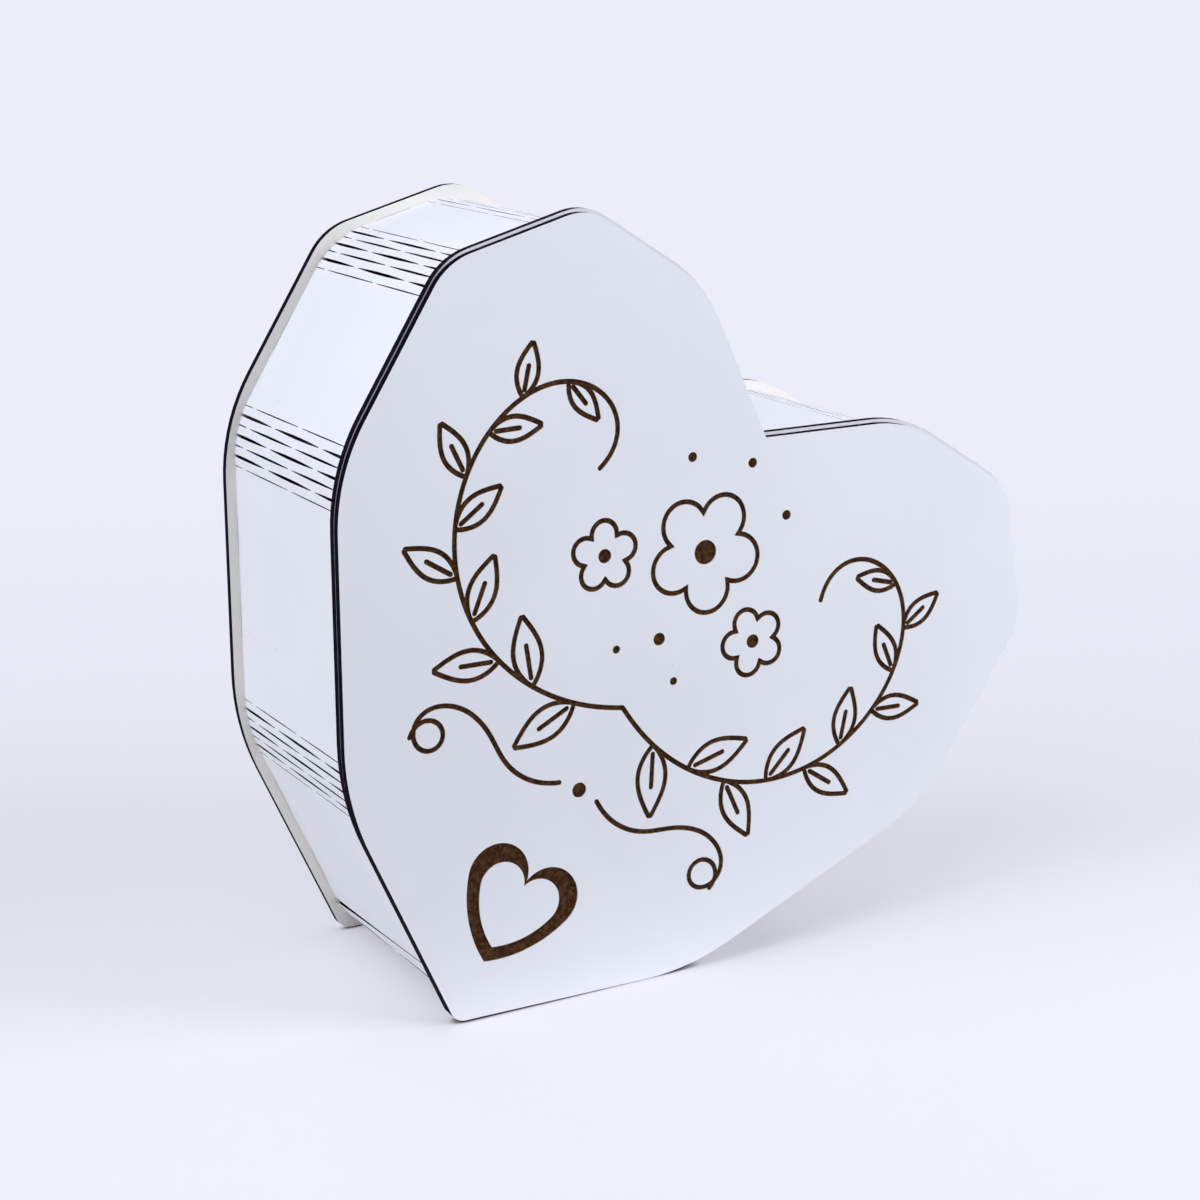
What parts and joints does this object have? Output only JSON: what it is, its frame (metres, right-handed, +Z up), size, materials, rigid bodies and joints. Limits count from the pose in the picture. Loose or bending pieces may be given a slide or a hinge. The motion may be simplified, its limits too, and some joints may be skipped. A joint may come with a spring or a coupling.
{
  "type": "heart-shaped gift box",
  "caption": "Heart-shaped gift box of thin white board: slit-hinged bent wall between two heart plates, with a lift-off engraved lid, standing on one side of the heart.",
  "frame": {"origin": "on the floor under the middle of the box: halfway across its width and its depth, at the level of the straight side it stands on", "axes": "+Z up, +X to the right as one faces the lid, +Y from the lid to the back panel"},
  "size_m": [0.265, 0.1, 0.2656],
  "materials": {
    "back_board": "white-faced thin fibreboard, satin, with charred laser-cut edges",
    "wall_board": "white-faced thin fibreboard, satin, with charred slits where it bends",
    "rim_board": "white-faced thin fibreboard, satin, with charred laser-cut edges",
    "lid_board": "white-faced thin fibreboard, satin, with brown burnt engraving and charred edges",
    "insert_board": "white-faced thin fibreboard, satin, with charred laser-cut edges"
  },
  "bodies": {
    "box": {"back_panel": "back_board", "wall_right_tip": "wall_board", "wall_right_flank": "wall_board", "wall_right_side": "wall_board", "wall_right_shoulder": "wall_board", "wall_right_crown": "wall_board", "wall_right_notch": "wall_board", "wall_left_tip": "wall_board", "wall_left_flank": "wall_board", "wall_left_side": "wall_board", "wall_left_shoulder": "wall_board", "wall_left_crown": "wall_board", "wall_left_notch": "wall_board", "hinge_tip": "wall_board", "hinge_right_low": "wall_board", "hinge_right_side": "wall_board", "hinge_right_shoulder": "wall_board", "hinge_right_crown": "wall_board", "hinge_right_inner": "wall_board", "hinge_left_low": "wall_board", "hinge_left_side": "wall_board", "hinge_left_shoulder": "wall_board", "hinge_left_crown": "wall_board", "hinge_left_inner": "wall_board", "front_rim": "rim_board"},
    "lid": {"lid_panel": "lid_board", "lid_insert": "insert_board"}
  },
  "joints": [
    {"name": "lid_off", "type": "slide", "parent": "box", "child": "lid", "axis": [0, -1, 0], "range_m": [0, 0.12]}
  ]
}
